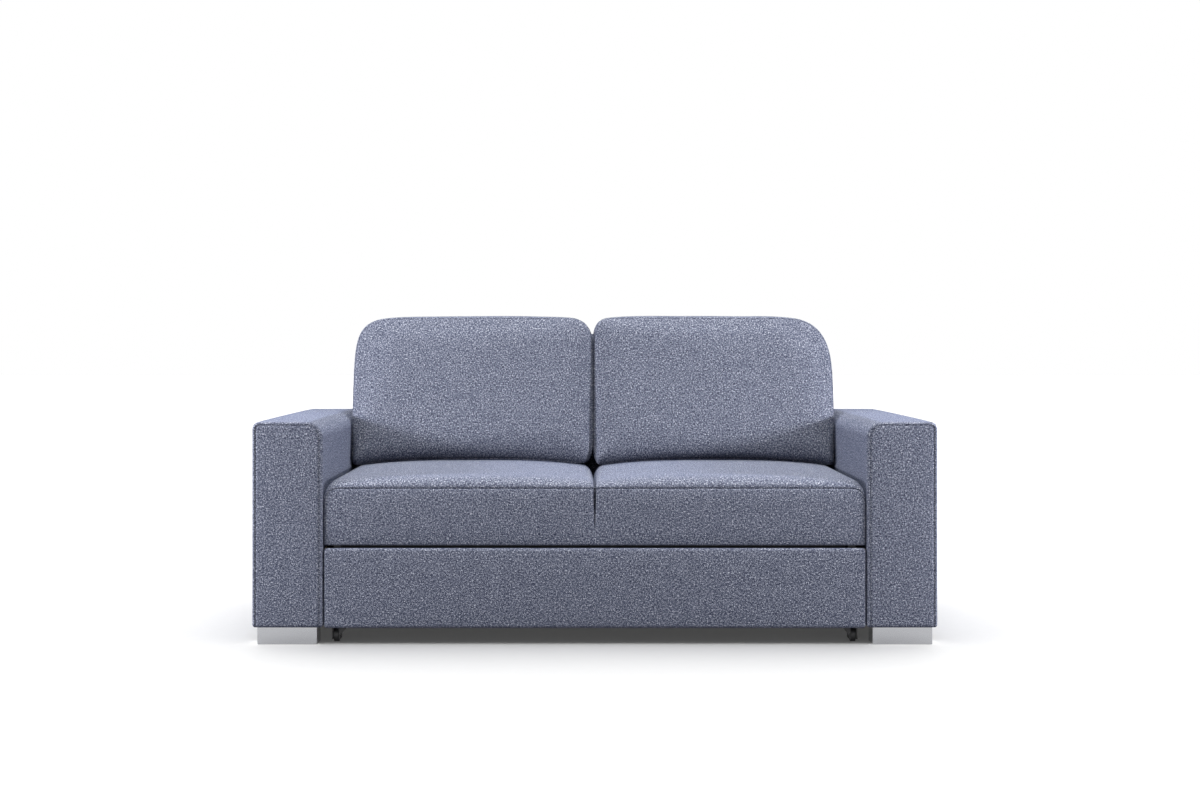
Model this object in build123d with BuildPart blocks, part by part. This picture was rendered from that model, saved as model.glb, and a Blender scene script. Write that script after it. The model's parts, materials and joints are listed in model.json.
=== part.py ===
"""Two-seat sofa bed with box arms, an accordion fold-out bed and a bedding drawer.

The origin is on the floor under the middle of the sofa. +Z is up, the front faces -Y, and
-X is the left side for someone who faces the sofa. All sizes are in millimetres.

The bed folds about three level axes. The rear section turns on the base (BASE_HINGE), the
middle section turns on its top end (TOP_HINGE), and the seat hangs on the foot of the middle
section (SEAT_HINGE), so that the seat rolls straight forward while the sections lie down.
"""

import os

from build123d import *

os.makedirs("parts", exist_ok=True)

# Overall size
WIDTH = 1940.0
DEPTH = 1000.0
HEIGHT = 940.0
FRONT = -DEPTH / 2
REAR = DEPTH / 2

# Arms
ARM_WIDTH = 200.0
ARM_TOP = 630.0
ARM_SKIN = 8.0
ARM_BOARD = 18.0
ARM_OUTER_RADIUS = 20.0
ARM_INNER_RADIUS = 45.0
ARM_FACE_RADIUS = 5.0
BASE_BOARD = 12.0
INNER_HALF = WIDTH / 2 - ARM_WIDTH

# Feet
FOOT_HEIGHT = 48.0
FOOT_WIDTH = 170.0
FOOT_DEPTH = 66.0
FOOT_INSET = 5.0
FOOT_WALL = 3.0
FOOT_BOSS_RADIUS = 12.0
FOOT_SHIFT = 1.0
FOOT_SCREW_SPACING = 110.0
SCREW_RADIUS = 4.0
SCREW_HEAD_RADIUS = 8.0
SCREW_HEAD_HEIGHT = 4.0
SCREW_RECESS = 1.0
HEAD_CLEARANCE = 0.5

# Fixed base and back
BOARD = 22.0
BACK_PANEL_FRONT = 467.0
BACK_PANEL_LOW = 56.0
BACK_PANEL_TOP = 885.0
BACK_SKIN = 5.0
BACK_STILE = 60.0
BACK_EDGE_RADIUS = 8.0
WING_THICKNESS = 12.0
WING_FRONT = 250.0
WING_LOW = 560.0
WING_TOP = 830.0
WING_RADIUS = 5.0
WING_CORNER_RADIUS = 30.0
BEAM_LOW = 60.0
BEAM_TOP = 250.0
BEAM_SHELF = 45.0
SIDE_RAIL_LOW = 228.0
SIDE_RAIL_TOP = 268.0
SIDE_RAIL_FRONT = -470.0
BOLT_POSITIONS = (-400.0, -130.0, 140.0, 410.0)
BOLT_HEAD_RADIUS = 9.0
BOLT_HEAD_HEIGHT = 4.0
BOLT_RECESS = 2.0
BOLT_REACH = 54.0

# Fold axes, as (Y, Z)
FOLD_LENGTH = 520.5
FOLD_OFFSET = 15.5
BASE_HINGE = (367.5, 358.5)
TOP_HINGE = (BASE_HINGE[0] - FOLD_OFFSET, BASE_HINGE[1] + FOLD_LENGTH)
SEAT_HINGE = (TOP_HINGE[0] - FOLD_OFFSET, BASE_HINGE[1])
STUD_RADIUS = 6.0
PIN_RADIUS = 4.0
RUNNING_CLEARANCE = 0.05
PLATE = 4.0
BRACKET_X = INNER_HALF - BOARD
BRACKET_THICKNESS = 6.0
BRACKET_KNUCKLE = 15.0
BRACKET_FOOT_HALF = 32.0
BRACKET_EDGE = 2.0
STUD_PLATE = 3.0
STUD_END = 2.0
BASE_STUD_PLATE = (-18.0, 42.0)
SEAT_STUD_PLATE = (-28.0, 42.0)
PIN_KNUCKLE = 12.0
PIN_HEAD_RADIUS = 7.0
PIN_HEAD = 3.0
TOP_PLATE = (-75.0, -15.0)
PLATE_GAP = 1.0

# Folding sections
SECTION_HALF = 735.0
SECTION_TOP = 877.0
MATTRESS = 80.0
SECTION_FRAME = 25.0
FRAME_TOP = SECTION_TOP - 10.0
MIDDLE_FACE = 240.0
MIDDLE_LOW = 262.0
REAR_FACE = 464.0
REAR_LOW = 328.5
RAIL_WIDTH = 50.0
FRAME_INSET = 10.0
CENTRE_BAR = 40.0
SLAT_WIDTH = 53.0
SLAT_THICKNESS = 8.0
MIDDLE_SLATS = 6
REAR_SLATS = 5
GLUE_LINE = 0.2
MATTRESS_RADIUS = 15.0
SWING_RADIUS_MIDDLE = 40.0
SWING_RADIUS_REAR = 25.0

# Support leg
LEG_X = 697.0
LEG_WIDTH = 14.0
LEG_THICKNESS = 12.0
LEG_KNUCKLE = 7.0
LEG_BAR_HEIGHT = 25.0
LEG_PAD = 5.0
LEG_PAD_EDGE = 2.0
LEG_FLOOR_GAP = 0.3

# Seat unit
SEAT_GAP = 1.0
SEAT_HALF = INNER_HALF - 1.5
SEAT_LOW = 280.0
SEAT_TOP = 478.0
SEAT_REAR = MIDDLE_FACE - SEAT_GAP
SEAT_FRONT = FRONT + 2.0
BORDER_FRONT = 16.0
BORDER_SIDE = 22.5
BORDER_RADIUS = 15.0
BORDER_TOP = 440.0
SEAT_FRAME_LOW = SEAT_LOW + SEAT_GAP
SEAT_FRAME_TOP = 345.0
SEAT_FRAME_HALF = 739.0
SEAT_FRAME_REAR = 212.0
COVE_RADIUS = 123.0
WEBBING_THICKNESS = 2.0
WEBBING_WIDTH = 60.0
WEBBING_STRAPS = 9
PAD_FRONT_RADIUS = 35.0
PAD_SIDE_RADIUS = 18.0
CHEEK_X = 722.0
CHEEK = 20.0
CHEEK_LOW = 53.0
CHEEK_FRONT = -470.0
CHEEK_REAR = 215.0
CROSS_RAIL_SETBACK = 40.0
EAR_THICKNESS = 5.0
EAR_KNUCKLE = 14.0
EAR_FRONT = 100.0
EAR_LOW = 300.0
EAR_TOP = 340.0

# Castors
WHEEL_RADIUS = 20.0
WHEEL_WIDTH = 15.0
WHEEL_EDGE = 2.0
WHEEL_X = 737.5
AXLE_RADIUS = 3.0
FORK_OUTER_X = 749.0
FORK_INNER_X = 726.0
FORK_FLANGE_X = 700.0
FORK_FLANGE = 3.0
FORK_DEPTH = 44.0
FORK_LOW = 9.0
FORK_CLEARANCE = 0.5
CASTOR_POSITIONS = (("front", -440.0), ("rear", 160.0))

# Drawer and front panel
PANEL_HALF = INNER_HALF - 2.5
PANEL_LOW = 46.0
PANEL_TOP = 272.0
PANEL_FRONT = FRONT + 2.0
PANEL_BOARD = 16.0
PANEL_PADDING = 8.0
PANEL_REAR = PANEL_FRONT + PANEL_BOARD + PANEL_PADDING
PANEL_EDGE_RADIUS = 5.0
DRAWER_HALF = 709.0
DRAWER_BOARD = 12.0
DRAWER_LOW = 70.0
DRAWER_TOP = 230.0
DRAWER_REAR = 170.0
DRAWER_FLOOR = 4.0
DRAWER_FLOOR_RISE = 6.0
DRAWER_HEADROOM = 10.0
SLIDE_WALL = 1.5
SLIDE_LOW = 100.0
SLIDE_HEIGHT = 45.0
SLIDE_CLEARANCE = 1.0
SLIDE_FRONT = -440.0

# Back cushions
CUSHION_LOW = 480.0
CUSHION_OUTER_X = 766.0
CUSHION_INNER_X = 2.0
CUSHION_THICK_LOW = 190.0
CUSHION_THICK_TOP = 84.0
CUSHION_FOOT_RADIUS = 25.0
CUSHION_FRONT_RADIUS = 30.0
CUSHION_CORNERS = {"left": (50.0, 60.0), "right": (110.0, 35.0)}


def block(low, high, mode=Mode.ADD):
    """Add a block between two opposite corners to the part being built."""
    middle = [(a + b) / 2 for a, b in zip(low, high)]
    size = [b - a for a, b in zip(low, high)]
    with Locations(tuple(middle)):
        Box(*size, mode=mode)


def rod(start_x, end_x, axis, radius, mode=Mode.ADD):
    """Add a round bar along X, about an axis given as (Y, Z), to the part being built."""
    with BuildSketch(Plane.YZ.offset(start_x)) as section:
        with Locations(axis):
            Circle(radius)
    extrude(section.sketch, amount=end_x - start_x, mode=mode)


def hinge_plate(x, thickness, axis, knuckle, hole, low, high):
    """Add an upright plate that runs from a rectangle to a round knuckle with a hole."""
    with BuildSketch(Plane.YZ.offset(x)) as outline:
        with Locations(axis):
            Circle(knuckle)
        with Locations(((low[0] + high[0]) / 2, (low[1] + high[1]) / 2)):
            Rectangle(high[0] - low[0], high[1] - low[1])
        make_hull()
        with Locations(axis):
            Circle(hole, mode=Mode.SUBTRACT)
    extrude(outline.sketch, amount=thickness)


def export(piece, name):
    """Write one node."""
    piece.label = name
    export_step(piece, f"parts/{name}.step")


def export_pair(piece, name):
    """Write a piece of the right side, and its mirror image for the left side."""
    export(piece, f"{name}_right")
    export(mirror(piece, about=Plane.YZ), f"{name}_left")


def mirror_in_place():
    """Add the mirror image of the part being built to it, so that one node has both sides."""
    mirror(about=Plane.YZ)


# ---------------------------------------------------------------- arms and feet
ARM_INSIDE = INNER_HALF + ARM_SKIN
ARM_OUTSIDE = WIDTH / 2 - ARM_SKIN
ARM_CAVITY_TOP = ARM_TOP - ARM_SKIN
ARM_CAVITY_FRONT = FRONT + ARM_SKIN
FRAME_LOW = FOOT_HEIGHT + BASE_BOARD


def arm_profile(inset):
    """Draw the arm's front outline, moved inwards on the sides and the top."""
    with Locations((INNER_HALF + ARM_WIDTH / 2, (FOOT_HEIGHT + ARM_TOP - inset) / 2)):
        Rectangle(ARM_WIDTH - 2 * inset, ARM_TOP - inset - FOOT_HEIGHT)
    fillet(vertices().group_by(Axis.Y)[-1].sort_by(Axis.X)[-1], ARM_OUTER_RADIUS - inset)
    fillet(vertices().group_by(Axis.Y)[-1].sort_by(Axis.X)[0], ARM_INNER_RADIUS - inset)


with BuildPart() as arm_cover:
    with BuildSketch(Plane.XZ.offset(-REAR)):
        arm_profile(0)
    extrude(amount=DEPTH)
    arm_ends = arm_cover.faces().filter_by(Axis.Y)
    fillet(arm_ends.edges().filter_by(lambda e: e.center().Z > FOOT_HEIGHT + 1), ARM_FACE_RADIUS)
    with BuildSketch(Plane.XZ.offset(ARM_CAVITY_FRONT)):
        arm_profile(ARM_SKIN)
    extrude(amount=DEPTH - 2 * ARM_SKIN, mode=Mode.SUBTRACT)
export_pair(arm_cover.part, "arm_cover")

with BuildPart() as arm_frame:
    board_top = ARM_CAVITY_TOP - ARM_INNER_RADIUS
    rear_face = -ARM_CAVITY_FRONT
    inner_board = ARM_INSIDE + ARM_BOARD
    outer_board = ARM_OUTSIDE - ARM_BOARD
    top_low = ARM_CAVITY_TOP - ARM_BOARD
    block((ARM_INSIDE, ARM_CAVITY_FRONT, FRAME_LOW), (inner_board, rear_face, board_top))
    block((outer_board, ARM_CAVITY_FRONT, FRAME_LOW), (ARM_OUTSIDE, rear_face, top_low))
    top_inside = ARM_INSIDE + ARM_INNER_RADIUS
    top_outside = ARM_OUTSIDE - ARM_OUTER_RADIUS + ARM_SKIN
    block((top_inside, ARM_CAVITY_FRONT, top_low), (top_outside, rear_face, ARM_CAVITY_TOP))
    for y in (ARM_CAVITY_FRONT, -ARM_BOARD / 2, rear_face - ARM_BOARD):
        block((inner_board, y, FRAME_LOW), (outer_board, y + ARM_BOARD, top_low))
export_pair(arm_frame.part, "arm_frame")

with BuildPart() as arm_base_board:
    block((ARM_INSIDE, ARM_CAVITY_FRONT, FOOT_HEIGHT), (ARM_OUTSIDE, -ARM_CAVITY_FRONT, FRAME_LOW))
export_pair(arm_base_board.part, "arm_base_board")

FOOT_X = INNER_HALF + ARM_WIDTH / 2 + FOOT_SHIFT
FOOT_Y = FRONT + FOOT_INSET + FOOT_DEPTH / 2
SCREW_XS = (FOOT_X - FOOT_SCREW_SPACING / 2, FOOT_X + FOOT_SCREW_SPACING / 2)

for place, foot_y in (("front", FOOT_Y), ("rear", -FOOT_Y)):
    with BuildPart() as foot:
        with BuildSketch(Plane.XY):
            with Locations((FOOT_X, foot_y)):
                RectangleRounded(FOOT_WIDTH, FOOT_DEPTH, FOOT_WALL)
        extrude(amount=FOOT_HEIGHT)
        chamfer(foot.faces().sort_by(Axis.Z)[0].edges(), FOOT_WALL / 3)
        with BuildSketch(Plane.XY.offset(FOOT_WALL)):
            with Locations((FOOT_X, foot_y)):
                Rectangle(FOOT_WIDTH - 2 * FOOT_WALL, FOOT_DEPTH - 2 * FOOT_WALL)
            with Locations(*[(x, foot_y) for x in SCREW_XS]):
                Circle(FOOT_BOSS_RADIUS, mode=Mode.SUBTRACT)
        extrude(amount=FOOT_HEIGHT - FOOT_WALL, mode=Mode.SUBTRACT)
        with Locations(*[Plane((x, foot_y, 0), z_dir=(0, 0, -1)) for x in SCREW_XS]):
            CounterBoreHole(
                radius=SCREW_RADIUS,
                counter_bore_radius=SCREW_HEAD_RADIUS + HEAD_CLEARANCE,
                counter_bore_depth=SCREW_HEAD_HEIGHT + SCREW_RECESS,
                depth=FOOT_HEIGHT,
            )
    export_pair(foot.part, f"foot_{place}")

with BuildPart() as foot_screws:
    for foot_y in (FOOT_Y, -FOOT_Y):
        with BuildSketch(Plane.XY.offset(SCREW_RECESS)):
            with Locations(*[(x, foot_y) for x in SCREW_XS]):
                Circle(SCREW_HEAD_RADIUS)
        extrude(amount=SCREW_HEAD_HEIGHT)
        with BuildSketch(Plane.XY.offset(SCREW_RECESS)):
            with Locations(*[(x, foot_y) for x in SCREW_XS]):
                Circle(SCREW_RADIUS)
        extrude(amount=FRAME_LOW - 2 * SCREW_RECESS)
    mirror_in_place()
export(foot_screws.part, "foot_screws")

# ---------------------------------------------------------------- fixed back and base
with BuildPart() as back_panel_cover:
    block((-INNER_HALF, BACK_PANEL_FRONT, BACK_PANEL_LOW), (INNER_HALF, REAR, BACK_PANEL_TOP))
    top_edges = back_panel_cover.faces().sort_by(Axis.Z)[-1].edges().filter_by(Axis.X)
    fillet(top_edges, BACK_EDGE_RADIUS)
    block(
        (-INNER_HALF + BACK_SKIN, BACK_PANEL_FRONT + BACK_SKIN, BACK_PANEL_LOW),
        (INNER_HALF - BACK_SKIN, REAR - BACK_SKIN, BACK_PANEL_TOP - BACK_SKIN),
        mode=Mode.SUBTRACT,
    )
export(back_panel_cover.part, "back_panel_cover")

with BuildPart() as back_panel_frame:
    half = INNER_HALF - BACK_SKIN
    front, rear = BACK_PANEL_FRONT + BACK_SKIN, REAR - BACK_SKIN
    low, high = BACK_PANEL_LOW, BACK_PANEL_TOP - BACK_SKIN
    block((-half, front, low), (half, rear, low + BACK_STILE))
    block((-half, front, high - BACK_STILE), (half, rear, high))
    for x in (-half, -BACK_STILE / 2, half - BACK_STILE):
        block((x, front, low), (x + BACK_STILE, rear, high))
export(back_panel_frame.part, "back_panel_frame")

with BuildPart() as back_wing:
    wing_high = (INNER_HALF, BACK_PANEL_FRONT, WING_TOP)
    block((INNER_HALF - WING_THICKNESS, WING_FRONT, WING_LOW), wing_high)
    top_corner = back_wing.faces().sort_by(Axis.Z)[-1].edges().filter_by(Axis.X).sort_by(Axis.Y)[0]
    fillet(top_corner, WING_CORNER_RADIUS)
    fillet(back_wing.faces().sort_by(Axis.X)[-1].edges().sort_by(Axis.Y)[:-1], WING_RADIUS)
export_pair(back_wing.part, "back_wing")

with BuildPart() as rear_beam:
    block((-INNER_HALF, BACK_PANEL_FRONT - BOARD, BEAM_LOW), (INNER_HALF, BACK_PANEL_FRONT, BEAM_TOP))
    shelf_front = BACK_PANEL_FRONT - BOARD - GLUE_LINE
    block((-INNER_HALF, shelf_front - BEAM_SHELF, BEAM_LOW), (INNER_HALF, shelf_front, BEAM_LOW + BOARD))
export(rear_beam.part, "rear_beam")

RAIL_CENTRE = (SIDE_RAIL_LOW + SIDE_RAIL_TOP) / 2

with BuildPart() as side_rail:
    block((BRACKET_X, SIDE_RAIL_FRONT, SIDE_RAIL_LOW), (INNER_HALF, BACK_PANEL_FRONT - BOARD, SIDE_RAIL_TOP))
    with Locations(*[Plane((BRACKET_X, y, RAIL_CENTRE), z_dir=(-1, 0, 0)) for y in BOLT_POSITIONS]):
        CounterBoreHole(
            radius=SCREW_RADIUS,
            counter_bore_radius=BOLT_HEAD_RADIUS + HEAD_CLEARANCE,
            counter_bore_depth=BOLT_HEAD_HEIGHT + BOLT_RECESS,
            depth=BOARD,
        )
export_pair(side_rail.part, "side_rail")

with BuildPart() as arm_bolts:
    head_x = BRACKET_X + BOLT_RECESS
    for y in BOLT_POSITIONS:
        rod(head_x, head_x + BOLT_HEAD_HEIGHT, (y, RAIL_CENTRE), BOLT_HEAD_RADIUS)
        rod(head_x, head_x + BOLT_REACH, (y, RAIL_CENTRE), SCREW_RADIUS)
        rod(ARM_INSIDE + ARM_BOARD, head_x + BOLT_REACH, (y, RAIL_CENTRE), SCREW_HEAD_RADIUS)
    mirror_in_place()
export(arm_bolts.part, "arm_bolts")

with BuildPart() as fixed_hinge_bracket:
    foot_low = (BASE_HINGE[0] - BRACKET_FOOT_HALF, SIDE_RAIL_TOP)
    foot_high = (BASE_HINGE[0] + BRACKET_FOOT_HALF, SIDE_RAIL_TOP + PLATE)
    hinge_plate(
        BRACKET_X,
        BRACKET_THICKNESS,
        BASE_HINGE,
        BRACKET_KNUCKLE,
        STUD_RADIUS + RUNNING_CLEARANCE,
        foot_low,
        foot_high,
    )
    block((BRACKET_X, *foot_low), (INNER_HALF - BRACKET_EDGE, *foot_high))
export_pair(fixed_hinge_bracket.part, "fixed_hinge_bracket")


# ---------------------------------------------------------------- folding sections
def section_frame(front, rear, low, bar_front, bar_rear):
    """Add the bars of a slatted frame: two side rails, two end rails and a centre bar."""
    inside = SECTION_HALF - RAIL_WIDTH
    for x in (-SECTION_HALF, inside):
        block((x, front, low), (x + RAIL_WIDTH, rear, FRAME_TOP))
    end_half = inside - GLUE_LINE
    block((-end_half, front, low), (end_half, rear, low + RAIL_WIDTH))
    block((-end_half, front, FRAME_TOP - RAIL_WIDTH), (end_half, rear, FRAME_TOP))
    bar_low = low + RAIL_WIDTH + GLUE_LINE
    bar_high = FRAME_TOP - RAIL_WIDTH - GLUE_LINE
    block((-CENTRE_BAR / 2, bar_front, bar_low), (CENTRE_BAR / 2, bar_rear, bar_high))


def slats(front, low, count):
    """Add the cross slats that lie between the side rails, evenly spaced."""
    room_low = low + RAIL_WIDTH
    spacing = (FRAME_TOP - RAIL_WIDTH - room_low) / count
    half = SECTION_HALF - RAIL_WIDTH - GLUE_LINE
    for i in range(count):
        slat_low = room_low + (i + 0.5) * spacing - SLAT_WIDTH / 2
        block((-half, front, slat_low), (half, front + SLAT_THICKNESS, slat_low + SLAT_WIDTH))


MIDDLE_FRAME_FRONT = MIDDLE_FACE + MATTRESS
MIDDLE_FRAME_REAR = MIDDLE_FRAME_FRONT + SECTION_FRAME
MIDDLE_FRAME_LOW = MIDDLE_LOW + FRAME_INSET
REAR_FRAME_REAR = REAR_FACE - MATTRESS
REAR_FRAME_FRONT = REAR_FRAME_REAR - SECTION_FRAME
REAR_FRAME_LOW = REAR_LOW + FRAME_INSET

with BuildPart() as middle_section_frame:
    section_frame(
        MIDDLE_FRAME_FRONT,
        MIDDLE_FRAME_REAR,
        MIDDLE_FRAME_LOW,
        MIDDLE_FRAME_FRONT + SLAT_THICKNESS,
        MIDDLE_FRAME_REAR,
    )
export(middle_section_frame.part, "middle_section_frame")

with BuildPart() as middle_section_slats:
    slats(MIDDLE_FRAME_FRONT, MIDDLE_FRAME_LOW, MIDDLE_SLATS)
export(middle_section_slats.part, "middle_section_slats")

with BuildPart() as middle_section_mattress:
    block((-SECTION_HALF, MIDDLE_FACE, MIDDLE_LOW), (SECTION_HALF, MIDDLE_FRAME_FRONT, SECTION_TOP))
    long_edges = middle_section_mattress.edges().filter_by(Axis.X)
    swing_edge = long_edges.group_by(Axis.Z)[0].sort_by(Axis.Y)[0]
    top_edge = long_edges.group_by(Axis.Z)[-1].sort_by(Axis.Y)[0]
    fillet(swing_edge, SWING_RADIUS_MIDDLE)
    fillet(top_edge, MATTRESS_RADIUS)
export(middle_section_mattress.part, "middle_section_mattress")

with BuildPart() as rear_section_frame:
    section_frame(
        REAR_FRAME_FRONT,
        REAR_FRAME_REAR,
        REAR_FRAME_LOW,
        REAR_FRAME_FRONT,
        REAR_FRAME_REAR - SLAT_THICKNESS,
    )
export(rear_section_frame.part, "rear_section_frame")

with BuildPart() as rear_section_slats:
    slats(REAR_FRAME_REAR - SLAT_THICKNESS, REAR_FRAME_LOW, REAR_SLATS)
export(rear_section_slats.part, "rear_section_slats")

with BuildPart() as rear_section_mattress:
    block((-SECTION_HALF, REAR_FRAME_REAR, REAR_LOW), (SECTION_HALF, REAR_FACE, SECTION_TOP))
    long_edges = rear_section_mattress.edges().filter_by(Axis.X)
    swing_edge = long_edges.group_by(Axis.Z)[0].sort_by(Axis.Y)[-1]
    top_edge = long_edges.group_by(Axis.Z)[-1].sort_by(Axis.Y)[-1]
    fillet(swing_edge, SWING_RADIUS_REAR)
    fillet(top_edge, MATTRESS_RADIUS)
export(rear_section_mattress.part, "rear_section_mattress")

# ---------------------------------------------------------------- fold hinges
PLATE_LOW_Z = FRAME_TOP + TOP_PLATE[0]
PLATE_HIGH_Z = FRAME_TOP + TOP_PLATE[1]
HINGE_PLATE_X = SECTION_HALF + PLATE + PLATE_GAP
STUD_PLATE_X = SECTION_HALF + STUD_PLATE

with BuildPart() as rear_hinge_studs:
    plate_low, plate_high = (BASE_HINGE[1] + z for z in BASE_STUD_PLATE)
    block((SECTION_HALF, REAR_FRAME_FRONT, plate_low), (STUD_PLATE_X, REAR_FRAME_REAR, plate_high))
    rod(SECTION_HALF, BRACKET_X + BRACKET_THICKNESS + STUD_PLATE, BASE_HINGE, STUD_RADIUS)
    mirror_in_place()
export(rear_hinge_studs.part, "rear_hinge_studs")

with BuildPart() as middle_hinge_studs:
    plate_low, plate_high = (SEAT_HINGE[1] + z for z in SEAT_STUD_PLATE)
    block((SECTION_HALF, MIDDLE_FRAME_FRONT, plate_low), (STUD_PLATE_X, MIDDLE_FRAME_REAR, plate_high))
    rod(SECTION_HALF, SEAT_FRAME_HALF + EAR_THICKNESS + STUD_END, SEAT_HINGE, STUD_RADIUS)
    mirror_in_place()
export(middle_hinge_studs.part, "middle_hinge_studs")

with BuildPart() as top_hinge_plates_middle:
    hinge_plate(
        SECTION_HALF,
        PLATE,
        TOP_HINGE,
        PIN_KNUCKLE,
        PIN_RADIUS + RUNNING_CLEARANCE,
        (MIDDLE_FRAME_FRONT, PLATE_LOW_Z),
        (MIDDLE_FRAME_REAR, PLATE_HIGH_Z),
    )
    mirror_in_place()
export(top_hinge_plates_middle.part, "top_hinge_plates_middle")

with BuildPart() as top_hinge_plates_rear:
    hinge_plate(
        HINGE_PLATE_X,
        PLATE,
        TOP_HINGE,
        PIN_KNUCKLE,
        PIN_RADIUS,
        (REAR_FRAME_FRONT, PLATE_LOW_Z),
        (REAR_FRAME_REAR, PLATE_HIGH_Z),
    )
    block((SECTION_HALF, REAR_FRAME_FRONT, PLATE_LOW_Z), (HINGE_PLATE_X, REAR_FRAME_REAR, PLATE_HIGH_Z))
    mirror_in_place()
export(top_hinge_plates_rear.part, "top_hinge_plates_rear")

with BuildPart() as top_hinge_pins:
    head_x = HINGE_PLATE_X + PLATE
    rod(LEG_X - PLATE_GAP, head_x, TOP_HINGE, PIN_RADIUS)
    rod(head_x, head_x + PIN_HEAD, TOP_HINGE, PIN_HEAD_RADIUS)
    mirror_in_place()
export(top_hinge_pins.part, "top_hinge_pins")

# ---------------------------------------------------------------- support leg
LEG_FRONT = TOP_HINGE[0] - LEG_THICKNESS / 2
LEG_REAR = TOP_HINGE[0] + LEG_THICKNESS / 2
FLAT_HINGE_HEIGHT = BASE_HINGE[1] - FOLD_OFFSET
PAD_LOW = TOP_HINGE[1] - FLAT_HINGE_HEIGHT + LEG_FLOOR_GAP
LEG_LOW = PAD_LOW + LEG_PAD

with BuildPart() as support_leg:
    hinge_plate(
        LEG_X,
        LEG_WIDTH,
        TOP_HINGE,
        LEG_KNUCKLE,
        PIN_RADIUS + RUNNING_CLEARANCE,
        (LEG_FRONT, LEG_LOW),
        (LEG_REAR, TOP_HINGE[1] - LEG_KNUCKLE),
    )
    mirror_in_place()
    bar_half = LEG_X - GLUE_LINE
    block((-bar_half, LEG_FRONT, LEG_LOW), (bar_half, LEG_REAR, LEG_LOW + LEG_BAR_HEIGHT))
export(support_leg.part, "support_leg")

with BuildPart() as support_leg_pads:
    pad_high = (LEG_X + LEG_WIDTH + LEG_PAD_EDGE, LEG_REAR, LEG_LOW)
    block((LEG_X - LEG_PAD_EDGE, LEG_FRONT, PAD_LOW), pad_high)
    mirror_in_place()
export(support_leg_pads.part, "support_leg_pads")

# ---------------------------------------------------------------- seat unit
BORDER_REAR = SEAT_FRONT + BORDER_FRONT
PAD_HALF = SEAT_HALF - BORDER_SIDE - SEAT_GAP
PAD_LOW_Z = SEAT_FRAME_TOP + WEBBING_THICKNESS

with BuildPart() as seat_frame:
    for y in (BORDER_REAR, SEAT_FRAME_REAR - BOARD):
        board_high = (SEAT_FRAME_HALF, y + BOARD, SEAT_FRAME_TOP)
        block((-SEAT_FRAME_HALF, y, SEAT_FRAME_LOW), board_high)
    for x in (-SEAT_FRAME_HALF, -BOARD / 2, SEAT_FRAME_HALF - BOARD):
        block(
            (x, BORDER_REAR + BOARD + GLUE_LINE, SEAT_FRAME_LOW),
            (x + BOARD, SEAT_FRAME_REAR - BOARD - GLUE_LINE, SEAT_FRAME_TOP),
        )
export(seat_frame.part, "seat_frame")

with BuildPart() as seat_webbing:
    strap_spacing = 2 * (SEAT_FRAME_HALF - WEBBING_WIDTH) / WEBBING_STRAPS
    for i in range(WEBBING_STRAPS):
        x = (i - (WEBBING_STRAPS - 1) / 2) * strap_spacing
        block(
            (x - WEBBING_WIDTH / 2, BORDER_REAR + SEAT_GAP, SEAT_FRAME_TOP),
            (x + WEBBING_WIDTH / 2, SEAT_FRAME_REAR, PAD_LOW_Z),
        )
export(seat_webbing.part, "seat_webbing")

for side, x_low, x_high in (("left", -PAD_HALF, -SEAT_GAP / 2), ("right", SEAT_GAP / 2, PAD_HALF)):
    with BuildPart() as seat_pad:
        block((x_low, BORDER_REAR + SEAT_GAP, PAD_LOW_Z), (x_high, SEAT_REAR, SEAT_TOP))
        top = seat_pad.faces().sort_by(Axis.Z)[-1]
        fillet(top.edges().sort_by(Axis.Y)[0], PAD_FRONT_RADIUS)
        fillet(seat_pad.faces().sort_by(Axis.Z)[-1].edges().filter_by(Axis.Y), PAD_SIDE_RADIUS)
        rod(x_low, x_high, SEAT_HINGE, COVE_RADIUS, mode=Mode.SUBTRACT)
    export(seat_pad.part, f"seat_pad_{side}")

with BuildPart() as seat_border:
    block((-SEAT_HALF, SEAT_FRONT, SEAT_LOW), (SEAT_HALF, BORDER_REAR, BORDER_TOP))
    block(
        (SEAT_HALF - BORDER_SIDE, BORDER_REAR + GLUE_LINE, SEAT_LOW),
        (SEAT_HALF, SEAT_REAR, BORDER_TOP + PAD_SIDE_RADIUS),
    )
    mirror_in_place()
    outer = seat_border.faces().sort_by(Axis.Y)[0].edges().group_by(Axis.Z)[-1]
    fillet(outer, BORDER_RADIUS)
export(seat_border.part, "seat_border")

with BuildPart() as cheek:
    block((CHEEK_X, CHEEK_FRONT, CHEEK_LOW), (CHEEK_X + CHEEK, CHEEK_REAR, SEAT_FRAME_LOW))
export_pair(cheek.part, "cheek")

with BuildPart() as seat_hinge_ear:
    hinge_plate(
        SEAT_FRAME_HALF,
        EAR_THICKNESS,
        SEAT_HINGE,
        EAR_KNUCKLE,
        STUD_RADIUS + RUNNING_CLEARANCE,
        (SEAT_FRAME_REAR - BOARD, EAR_LOW),
        (SEAT_FRAME_REAR, EAR_TOP),
    )
    strap_high = (SEAT_FRAME_HALF + EAR_THICKNESS, SEAT_FRAME_REAR, EAR_TOP)
    block((SEAT_FRAME_HALF, EAR_FRONT, EAR_LOW), strap_high)
export_pair(seat_hinge_ear.part, "seat_hinge_ear")

CROSS_RAIL_FRONT = PANEL_REAR + CROSS_RAIL_SETBACK
CROSS_RAIL_LOW = DRAWER_TOP + DRAWER_HEADROOM

with BuildPart() as front_cross_rail:
    rail_high = (CHEEK_X, CROSS_RAIL_FRONT + BOARD, SEAT_FRAME_LOW)
    block((-CHEEK_X, CROSS_RAIL_FRONT, CROSS_RAIL_LOW), rail_high)
export(front_cross_rail.part, "front_cross_rail")

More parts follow.
